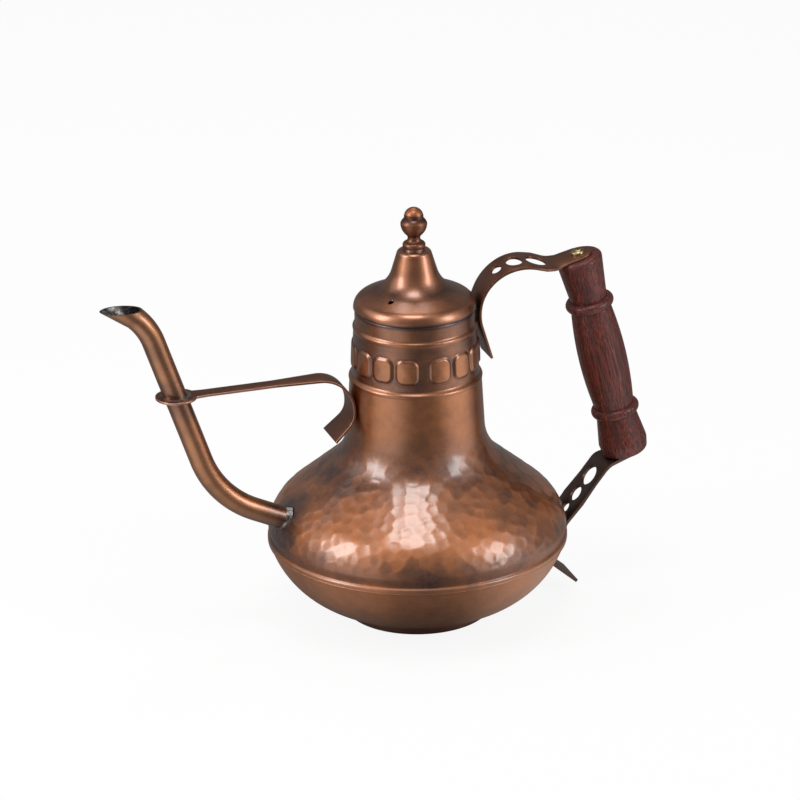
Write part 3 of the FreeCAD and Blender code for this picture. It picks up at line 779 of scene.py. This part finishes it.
# %% Scatter the blows
blows = {
    "Blow Spacing": 5.1 * MM, "Dent Depth": 0.17 * MM, "Lowest Blow": 49.0 * MM,
    "Highest Blow": 90.0 * MM, "Seed": 7,
}
least_struck, densest = 0.02, 4e5
bench, given = new_tree("planishing", blows)
position = bench.node("GeometryNodeInputPosition")
z = split(bench, position)[2]
lowest, highest, spacing = (given[k] for k in ("Lowest Blow", "Highest Blow", "Blow Spacing"))
fade_in = z.eased(lowest - 2.5 * MM, lowest + 1.5 * MM)
fade_out = 1 - z.eased(highest - 9 * MM, highest + 9 * MM)
zone = fade_in * fade_out * carried(bench, "outside")
struck = bench.node(
    "FunctionNodeCompare", {"operation": "GREATER_THAN"}, {"A": zone, "B": least_struck})
points = bench.node(
    "GeometryNodeDistributePointsOnFaces", {"distribute_method": "POISSON"},
    {"Mesh": given["Geometry"], "Selection": struck, "Distance Min": spacing,
     "Density Max": densest, "Seed": given["Seed"]},
)
nearest = bench.node("GeometryNodeProximity", {"target_element": "POINTS"}, {"Geometry": points})
which = bench.node("GeometryNodeSampleNearest", None, {"Geometry": points})
print("nodes that scatter the blows:", len(bench.tree.nodes))

# %% Press the dishes
dish_reach, most_lean = 0.78, 0.045
least_force, most_force = 0.7, 1.3
reach = nearest.other("Distance") / (spacing * dish_reach)
rise = (reach * reach).at_most(1.0)
force = bench.node(
    "FunctionNodeRandomValue", {"data_type": "FLOAT"},
    {2: least_force, 3: most_force, "ID": which}, out=1,
)
lean = bench.node(
    "FunctionNodeRandomValue", {"data_type": "FLOAT_VECTOR"},
    {0: (-most_lean,) * 3, 1: (most_lean,) * 3, "ID": which},
)
away = bench.node("ShaderNodeVectorMath", {"operation": "SUBTRACT"}, {0: position, 1: nearest})
tilt = bench.node("ShaderNodeVectorMath", {"operation": "DOT_PRODUCT"}, {0: away, 1: lean}, out=1)
press = (1 - rise) * zone * (tilt - force * given["Dent Depth"])
shape = pushed_out(bench, given["Geometry"], press)
print("nodes with the dishes:", len(bench.tree.nodes))

# %% Rub the belly
swell = z.eased(46 * MM, 61 * MM) * (1 - z.eased(64 * MM, 82 * MM))
neck = z.eased(88 * MM, 106 * MM)
lip = 1 - z.eased(41.4 * MM, 42.4 * MM)
cove = 1 - z.eased(44 * MM, 50 * MM)
rubbed = (rise - 0.45) * 0.08 + (force - 1) * 0.36
from_root = bench.node(
    "ShaderNodeVectorMath", {"operation": "DISTANCE"},
    {0: position, 1: (-root_x * MM, 0, root_z * MM)}, out=1,
)
stain = from_root.eased(6 * MM, 24 * MM, 1.0, 0.0)
marks = {
    "worn": 0.24 + swell * 0.42 + neck * 0.42 + lip * 0.25 + rubbed * zone - stain * 0.7,
    "lacquer": 1 - neck * 0.4 - cove * 0.55 + lip * 0.55,
    "satin": 0.57 - neck * 0.20 + (force - 1) * zone * 0.2,
}
for name, value in marks.items():
    shape = store(bench, shape, name, value)
belly_result = run_tree(bench, given, shape, belly_mesh, blows, beaten)
line_inside(belly_result, len(belly_outside), belly_segments)
piece("beaten_belly", belly_result, "kettle", ["upper_shell"], 50.0)

# %% [markdown]
# ## The band of squares
#
# Above the belly two rolled beads frame a band with a row of rounded squares,
# pushed out from inside with a punch. Fifteen separate pads could be set on the
# band, but punched copper flows: the edges are soft and the sheet stays whole.
# A tree of nodes measures how far each point lies from its nearest square and
# lifts it by that distance, so one rule makes the whole row.

# %% Outline of the neck's band
band_low_z, band_top_z, collar_z, rim_z = 127.3, 151.5, 153.5, 161.8
collar_r = 30.0
band_corners = [
    (neck_top_r, neck_top_z),
    (31.9, band_low_z, 0.8),
    (30.7, band_top_z, 0.8),
    (collar_r, collar_z, 0.8),
    (collar_r, rim_z - 0.5),
    (29.6, rim_z),
]
beads = [(33.4, 126.2, 2.6), (31.1, 152.5, 2.1)]


def with_beads(points):
    """Points pushed out to the rolled beads (greatest radius, height, half width)."""
    pushed = []
    for radius, z in points:
        for crest, bead_z, half in beads:
            if abs(z - bead_z) < half:
                swell = 0.5 + 0.5 * math.cos(math.pi * (z - bead_z) / half)
                radius += (crest - radius) * swell
        pushed.append(Vector((radius, z)))
    return pushed


band_segments = 600
band_outside = with_beads(spaced(outline(band_corners, 6.0), 0.3))
band_inside = spaced(outline(beside(band_corners, wall), 20.0), 10.0)
band_mesh = turned("band", band_outside + band_inside[::-1], band_segments)
mark_outside(band_mesh, len(band_outside), band_segments)
print("rows of points up the band:", len(band_outside))

# %% Measure from the nearest square
squares = {
    "Square Count": 15, "Square Pitch": math.radians(23.5), "First Angle": math.radians(-84.9),
    "Square Width": 10.5 * MM, "Square Height": 11.8 * MM, "Corner": 3.4 * MM,
    "Rise": 0.75 * MM, "Middle": 138.6 * MM, "Edge": 0.9 * MM,
}
bench, given = new_tree("punched_squares", squares)
x, y, z = split(bench, bench.node("GeometryNodeInputPosition"))
pitch, corner, edge = given["Square Pitch"], given["Corner"], given["Edge"]
around = x.math("ARCTAN2", y, x) - given["First Angle"] + pitch * 0.5
around = around.math("FLOORED_MODULO", around, 2 * math.pi)
index = around.math("FLOOR", around / pitch).at_most(given["Square Count"] - 1)
aside = ((around - pitch * 0.5 - index * pitch) * hypotenuse(x, y)).absolute()
above = (z - given["Middle"]).absolute()
over_x = aside - given["Square Width"] * 0.5 + corner
over_z = above - given["Square Height"] * 0.5 + corner
beyond = hypotenuse(over_x.at_least(0.0), over_z.at_least(0.0))
from_edge = beyond + over_x.at_least(over_z).at_most(0.0) - corner
print("nodes that measure the squares:", len(bench.tree.nodes))

# %% Punch the squares
crown_rise, furrow_depth = 0.2 * MM, 0.10 * MM
lift = from_edge.eased(edge * -1.0, edge, 1.0, 0.0) * given["Rise"]
crown = from_edge.eased(given["Square Width"] * -0.5, 0.0, 1.0, 0.0) * crown_rise
furrow = from_edge.eased(0.0, edge) - from_edge.eased(edge, edge * 2.6)
raised = (lift + crown - furrow * furrow_depth) * carried(bench, "outside")
punched = pushed_out(bench, given["Geometry"], raised)

pad = from_edge.eased(edge * -1.5, 0.0, 1.0, 0.0)
crest = sum((z - at * MM).absolute().eased(0.0, half * MM, 1.0, 0.0) for _, at, half in beads)
collar = z.eased(collar_z * MM, (collar_z + 1.5) * MM)
# Painted shade with patina: the band darkens just below the rim, where the lid overhangs it.
under_lid = z.eased((rim_z - 2.0) * MM, (rim_z - 0.6) * MM)
wear = 0.27 + pad * 0.38 + crest * 0.28 - furrow * 0.12 + collar * 0.12 - under_lid * 0.7
marked = store(bench, punched, "worn", wear)
band_result = run_tree(bench, given, marked, band_mesh, squares, banded)
line_inside(band_result, len(band_outside), band_segments)
piece("neck_band", band_result, "kettle", ["upper_shell"], 60.0)

# %% [markdown]
# ## The bowl and the foot
#
# The lower bowl is spun from one disc and stands on a short turned foot. A
# modifier could thicken a single skin, but it leaves square edges. So both sides
# of each wall are drawn and turned, and the bowl's rim is rounded, because there
# it catches a bright line round the pot.

# %% Turn the foot
foot_z, foot_wall = 5.5, 1.2
foot_corners = [(0.0, 0.0), (37.0, 0.0, 1.5), (37.4, foot_z)]
foot_loop = outline(foot_corners) + outline(beside(foot_corners, foot_wall))[::-1]
foot_mesh = turned("foot", foot_loop, 192, foot_finish, closed=False)
piece("turned_foot", foot_mesh, "kettle", ["base_pan"])

# %% Turn the bowl
bowl_rim = [(75.0, 38.7), (75.5, 39.2), (75.0, 39.7)]
bowl_corners = [
    (35.4, foot_z),
    (37.8, foot_z, 2.0),
    (64.8, 12.0, 48.4),
    (74.8, 38.7, 0.3),
    bowl_rim[0],
]
bowl_segments = 256
bowl_outside = spaced(outline(bowl_corners, 2.0), 2.0) + arc(*bowl_rim, 8)
bowl_inside = spaced(outline(beside(bowl_corners, wall), 6.0), 8.0)
bowl_mesh = turned("bowl", bowl_outside + bowl_inside[::-1], bowl_segments, bowl_finish)
# The bowl's copper is darker towards the bottom.
mark_worn(bowl_mesh, lambda radius, z: 0.46 + 0.006 * z)
line_inside(bowl_mesh, len(bowl_outside), bowl_segments)
piece("spun_bowl", bowl_mesh, "kettle", ["lower_bowl"])

# %% [markdown]
# ## The lid and its knob
#
# The lid is a spun dome that runs up into a little tower, and the knob is turned
# from the bar: a collar, a waist, a bulb and a ball. They are turned here as the
# pot is. The vent could be a dark spot in the finish, but then no light would
# pass. A boolean cuts it instead, as a drill would, and a cone breaks its edge.

# %% Turn the lid
lid_z, lid_r, lid_wall = 162.1, 30.6, 0.9
tower_z = lid_z + 30.2
lid_segments = 256
lid_corners = [
    (lid_r, lid_z),
    (lid_r, lid_z + 4.5, 6.5),
    (13.56, lid_z + 12.3, 16.7),
    (8.2, tower_z, 2.5),
    (2.2, tower_z),
]
lid_edge = [(lid_r - 0.25, lid_z), (lid_r, lid_z + 0.25)]
lid_outside = spaced(outline(lid_edge + lid_corners[1:], 2.5), 1.5)
lid_inside = spaced(outline(beside(lid_corners, lid_wall), 6.0), 4.0)
lid_mesh = turned("lid", lid_outside + lid_inside[::-1], lid_segments, spun)


def lid_wear(radius, z):
    """Patina in the hollow between rim and tower, and painted shade with patina at the lower edge.
    """
    hollow = np.exp(-((radius - 17.0) / 4.0) ** 2)
    # Painted shade with patina along the lower edge, where the lid sits over the collar.
    edge = np.clip((lid_z + 1.2 - z) / 0.8, 0.0, 1.0)
    return 0.50 - 0.36 * hollow - 0.70 * edge


mark_worn(lid_mesh, lid_wear)
line_inside(lid_mesh, len(lid_outside), lid_segments)
print("rows of points up the lid:", len(lid_outside))


# %% Drill the vent
def drill(start, heading, length, radius, far_radius):
    """Closed round rod or cone in mm from a point along a heading."""
    start, heading, length = start * MM, heading.normalized(), length * MM
    mesh = bpy.data.meshes.new("drill")
    bm = bmesh.new()
    bmesh.ops.create_cone(
        bm, cap_ends=True, segments=48, radius1=radius * MM, radius2=far_radius * MM, depth=length)
    move = Matrix.Translation(start + heading * length / 2)
    bm.transform(move @ heading.to_track_quat("Z", "Y").to_matrix().to_4x4())
    bm.to_mesh(mesh)
    bm.free()
    return put("drill", mesh)


vent_turn, vent_r, vent_offset = math.radians(-142.0), 1.2, 21.0
vent_depth, sink_depth, sink_height, sink_flare = 3, 0.25, 1.0, 1.1
dome_fall, dome_run = 7.8, 17.04
dome = lid_outside[1:]
dome_z = float(np.interp(-vent_offset, [-p.x for p in dome], [p.y for p in dome]))
across = Vector((math.cos(vent_turn), math.sin(vent_turn), 0))
upright = (across * dome_fall + Vector((0, 0, dome_run))).normalized()
vent = across * vent_offset + Vector((0, 0, dome_z))
hole = drill(vent - upright * vent_depth, upright, 2 * vent_depth, vent_r, vent_r)
sink = drill(vent - upright * sink_depth, upright, sink_height, vent_r, vent_r + sink_flare)
for tool in (hole, sink):
    settings = {"operation": "DIFFERENCE", "solver": "EXACT", "object": tool}
    lid_mesh = modified(lid_mesh, "BOOLEAN", settings)
    bpy.data.objects.remove(tool)
face_outwards(lid_mesh)
piece("spun_lid", lid_mesh, "lid", ["lid_cover"])

# %% Turn the knob
knob_z, seat_r, ball_r = 193.2, 5.0, 4.85
collar_top, shoulder, bulb, groove = (4.6, 3.1), (3.8, 6.7), (6.65, 12.9), (4.8, 15.4)
ball_z = groove[1] + math.sqrt(ball_r ** 2 - groove[0] ** 2)
knob_line = [Vector((0, 0)), Vector((seat_r, 0))]
knob_line += arc((seat_r, 0.0), (5.7, 1.7), collar_top)
knob_line += arc(collar_top, (3.2, 4.7), shoulder)
knob_line += arc(shoulder, (5.8, 9.2), bulb, 20)
knob_line += arc(bulb, (6.1, 14.0), groove)
knob_line += arc(groove, (ball_r, ball_z), (0.0, ball_z + ball_r), 28)
knob_line = [p + Vector((0, knob_z)) for p in knob_line]
knob_mesh = turned("knob", knob_line, 96, knob_finish, closed=False)


def knob_wear(radius, z):
    """Rubbed bright on the ball and dark in the groove under it."""
    return np.where(z > knob_z + 17.5, 0.62, 0.30 - 0.25 * (z > knob_z + 14))


mark_worn(knob_mesh, knob_wear)
piece("turned_knob", knob_mesh, "lid", ["lid_knob"], 50.0)

# %% [markdown]
# ## The spout
#
# The spout is a drawn tube that leaves the belly low, rises steeply and bends
# forward to a level mouth. A bevelled curve would do, but it has no wall. Nodes
# sweep one circle along the line for the outside and a smaller one for the bore;
# the far end is then cut level and the two edges are joined by a rim.

# %% Line of the spout
def walk(start, run, degrees):
    turn = math.radians(degrees)
    return start[0] + run * math.cos(turn), start[1] + run * math.sin(turn)


spout_r, spout_wall, mouth_r = 5.75, 0.9, 6.8
spout_lean, spout_rise, spout_tip = 180 - 25.0, 180 - 71.1, 180 - 43.0
low_bend, high_bend = 52.0, 34.0
spout_root = (-root_x, root_z)
spout_low = walk(spout_root, 38.1, spout_lean)
spout_high = walk(spout_low, 99.5, spout_rise)
spout_mouth = walk(spout_high, 15.5, spout_tip)
spout_line = outline([
    walk(spout_root, -4.2, spout_lean),
    (*spout_low, low_bend),
    (*spout_high, high_bend),
    walk(spout_mouth, 12.0, spout_tip),
], 2.0)
print("the spout's mouth is at", [round(v, 1) for v in spout_mouth])

# %% Lay the line and swell its tip
line_gap, tip_steps = 3.0, 10
tip_start, tip_end = spout_line[-2:]
tip_run = (Vector(spout_mouth) - tip_start).length
heading = (tip_end - tip_start).normalized()
spots = spaced(spout_line[:-1], line_gap)
spots += [tip_start.lerp(tip_end, k / tip_steps) for k in range(1, tip_steps + 1)]
line_mesh = bpy.data.meshes.new("spout_line")
links = [(k, k + 1) for k in range(len(spots) - 1)]
line_mesh.from_pydata([(p.x * MM, 0, p.y * MM) for p in spots], links, [])
past_bend = [max(0.0, (spot - tip_start).dot(heading)) for spot in spots]
mark(line_mesh, "swell", [past / tip_run * (mouth_r - spout_r) * MM for past in past_bend])
print("points along the spout:", len(spots))

# %% Sweep the tube
tube = {"Tube Radius": spout_r * MM, "Wall": spout_wall * MM, "Around": 72}
bench, given = new_tree("swept_tube", tube)
path = bench.node("GeometryNodeMeshToCurve", None, {"Mesh": given["Geometry"]})
swelling = carried(bench, "swell")
unit = bench.node(
    "GeometryNodeCurvePrimitiveCircle", None, {"Resolution": given["Around"], "Radius": 1.0})
skin, bore = (
    bench.node(
        "GeometryNodeCurveToMesh", None,
        {"Curve": path, "Profile Curve": unit, "Scale": radius + swelling},
    )
    for radius in (given["Tube Radius"], given["Tube Radius"] - given["Wall"])
)
bore = bench.node("GeometryNodeFlipFaces", None, {"Mesh": bore})
bore = store(bench, bore, "bore", 1.0, "FACE")
both = bench.node("GeometryNodeJoinGeometry")
for part in (bore, skin):
    bench.tree.links.new(part.socket, both.socket.node.inputs[0])
tube_mesh = run_tree(bench, given, both, line_mesh, tube, spout_finish)
print("swept tube has", len(tube_mesh.polygons), "faces")

# %% Cut the mouth level and join the walls
mouth_tilt = math.radians(2.0)
halfway_up = 100 * MM


def close_tube(mesh, mouth, tilt):
    """Cut the tube off above a plane, then join its two walls at both ends."""
    bm = bmesh.new()
    bm.from_mesh(mesh)
    up = Vector((math.sin(tilt), 0, math.cos(tilt)))
    everything = bm.verts[:] + bm.edges[:] + bm.faces[:]
    bmesh.ops.bisect_plane(bm, geom=everything, plane_co=mouth, plane_no=up, clear_outer=True)
    loose = [e for e in bm.edges if e.is_boundary]
    for at_top in (False, True):
        ends = [e for e in loose if (e.verts[0].co.z > halfway_up) == at_top]
        bmesh.ops.bridge_loops(bm, edges=ends)
    bmesh.ops.recalc_face_normals(bm, faces=bm.faces)
    tag = bm.faces.layers.float.get("bore")
    for face in bm.faces:
        face.material_index = 1 if face[tag] > 0.5 else 0
    bm.to_mesh(mesh)
    bm.free()


tube_mesh.materials.clear()
for material in (spout_finish, mottled_solder):
    tube_mesh.materials.append(material)
close_tube(tube_mesh, Vector((spout_mouth[0] * MM, 0, spout_mouth[1] * MM)), mouth_tilt)
print("closed tube has", len(tube_mesh.polygons), "faces")

# %% Stain the spout at its joints
eye_z = float(np.mean([v.co.z for v in nodes["stay_ring_solder"].data.vertices])) / MM


def spout_wear(radius, z):
    """Soldering heat leaves the tube dark at its root and at the eye of the stay."""
    at_eye = np.exp(-((z - eye_z) / 9.0) ** 2)
    at_root = np.exp(-((radius - root_x) / 10.0) ** 2)
    return 0.62 - 0.50 * at_eye - 0.45 * at_root


mark_worn(tube_mesh, spout_wear)
piece("drawn_spout", tube_mesh, "kettle", ["spout_tube"], 40.0)

# %% [markdown]
# ## The straps
#
# The stay and the two brackets are sawn from strip, pierced and bent. They could
# be drawn again here, but their solids already have the right shape, only with
# razor edges that catch no light. So copies of them get their edges broken with a
# bevel, as a file would do it. The bevels and the sides of the spout's eye get a
# lighter copper, part filed metal and part painted highlight.

# %% Break the edges of the straps
same_place, flat_angle, sharp_angle = 1e-6, math.radians(0.8), math.radians(50)


def filed_copy(node, width, *materials):
    """Copy of a solid with its sharp edges rounded over and given the last finish."""
    mesh = nodes[node].data.copy()
    mesh.materials.clear()
    for material in materials:
        mesh.materials.append(material)
    bm = bmesh.new()
    bm.from_mesh(mesh)
    bmesh.ops.remove_doubles(bm, verts=bm.verts, dist=same_place)
    bmesh.ops.dissolve_limit(bm, angle_limit=flat_angle, verts=bm.verts, edges=bm.edges)
    bm.to_mesh(mesh)
    bm.free()
    return modified(mesh, "BEVEL", {
        "width": width * MM, "segments": 2, "limit_method": "ANGLE",
        "angle_limit": sharp_angle, "material": 1,
    })


strap_edge, eye_end, steep = 0.25, -50 * MM, 0.5
straps = [
    ("filed_stay", "spout_stay", "strap_copper", strap_finish),
    ("filed_upper_bracket", "upper_bracket", "strap_copper", strap_finish),
    ("filed_lower_bracket", "lower_bracket", "dark_copper", dark),
]
for name, node, slot, material in straps:
    strap_mesh = filed_copy(node, strap_edge, material, edge_finish)
    # Painted highlight on filed metal: the sides of the spout's eye also take the lighter edge
    # copper.
    for face in strap_mesh.polygons:
        if face.center.x < eye_end and abs(face.normal.z) < steep:
            face.material_index = 1
    piece(name, strap_mesh, "kettle", [node], 40.0)

# %% [markdown]
# ## The wooden grip
#
# The grip is turned from an open-pored hardwood: a barrel between two beads, with
# flared ends. The lathe gives its outline. The pores run lengthwise and are deep
# enough to feel, so a tree of nodes presses fine grooves along it, and the finish
# colours the rest. Bump alone would leave its edge in the light too clean.

# %% Turn the grip
grip_length = 111.5
grip_top = (collar_r + 56.2, rim_z + 16.4)
top_bead, low_bead = -26.5, -grip_length + 24.5
half_bead, bead_r, barrel_r, waist_r, neck_r = 2.75, 12.3, 12.1, 10.1, 9.4
end_rounding = 2.2
stops = [
    (neck_r, top_bead + half_bead), (waist_r, top_bead - half_bead),
    (waist_r, low_bead + half_bead), (waist_r, low_bead - half_bead),
]
grip_line = outline([(0, 0), (11.9, 0, end_rounding), stops[0]], 8)
grip_line += arc(stops[0], (bead_r, top_bead), stops[1], 12)
grip_line += arc(stops[1], (barrel_r, (top_bead + low_bead) / 2), stops[2], 40)
grip_line += arc(stops[2], (bead_r, low_bead), stops[3], 12)
grip_line += outline([
    stops[3],
    (12.4, -grip_length + 6.0, 6.6),
    (11.4, -grip_length, end_rounding),
    (0, -grip_length),
], 8)[1:]
grip_mesh = turned("grip", spaced(grip_line, 1.6), 240, closed=False)
print("points along the grip:", len(grip_line))

# %% Press the pores
grain = {"Groove Depth": 0.13 * MM, "Groove Length": 40.0, "Fineness": 1700.0}
bench, given = new_tree("open_pores", grain)
x, y, z = split(bench, bench.node("GeometryNodeInputPosition"))
drawn_out = bench.node(
    "ShaderNodeCombineXYZ", None, {"X": x, "Y": y, "Z": z / given["Groove Length"]})
pore = noise(bench, drawn_out, given["Fineness"], 2.0, 0.5)
groove = pore.eased(0.5, 0.72) * given["Groove Depth"] * -1.0
carved = pushed_out(bench, given["Geometry"], groove)
grip_result = run_tree(bench, given, carved, grip_mesh, grain, grip_finish)
stand = Matrix.Translation((grip_top[0] * MM, 0, grip_top[1] * MM))
grip_result.transform(stand @ Matrix.Rotation(-grip_tilt, 4, "Y"))
piece("turned_grip", grip_result, "kettle", ["handle_grip"], 50.0)

# %% [markdown]
# ## Screws, solder and hidden pieces
#
# The small pieces keep the shapes of their solids. The screws get broken edges so
# that the crosses in their heads read. The solder and the pieces under the lid
# could be copied too, but they only need their finishes.

# %% Dress the small pieces
screw_edge = 0.12
for node in ("upper_grip_screw", "lower_grip_screw"):
    screw_mesh = filed_copy(node, screw_edge, brass, brass)
    piece("filed_" + node, screw_mesh, "kettle", [node], 40.0)

dressing = {
    tin: ["seam_solder", "base_solder", "stay_ring_solder", "lid_skirt_solder", "knob_seat_ring"],
    mottled_solder: ["spout_solder"],
    # Painted shade: near-black solder where the straps meet the neck.
    old_solder: ["stay_neck_solder", "upper_bracket_solder", "lower_bracket_solder"],
    brass: ["knob_washer", "knob_screw"],
    drawn: ["lid_skirt"],
}
for material, names in dressing.items():
    for name in names:
        for slot in nodes[name].material_slots:
            slot.material = material
print("dressed", sum(len(names) for names in dressing.values()), "solids of the frame")
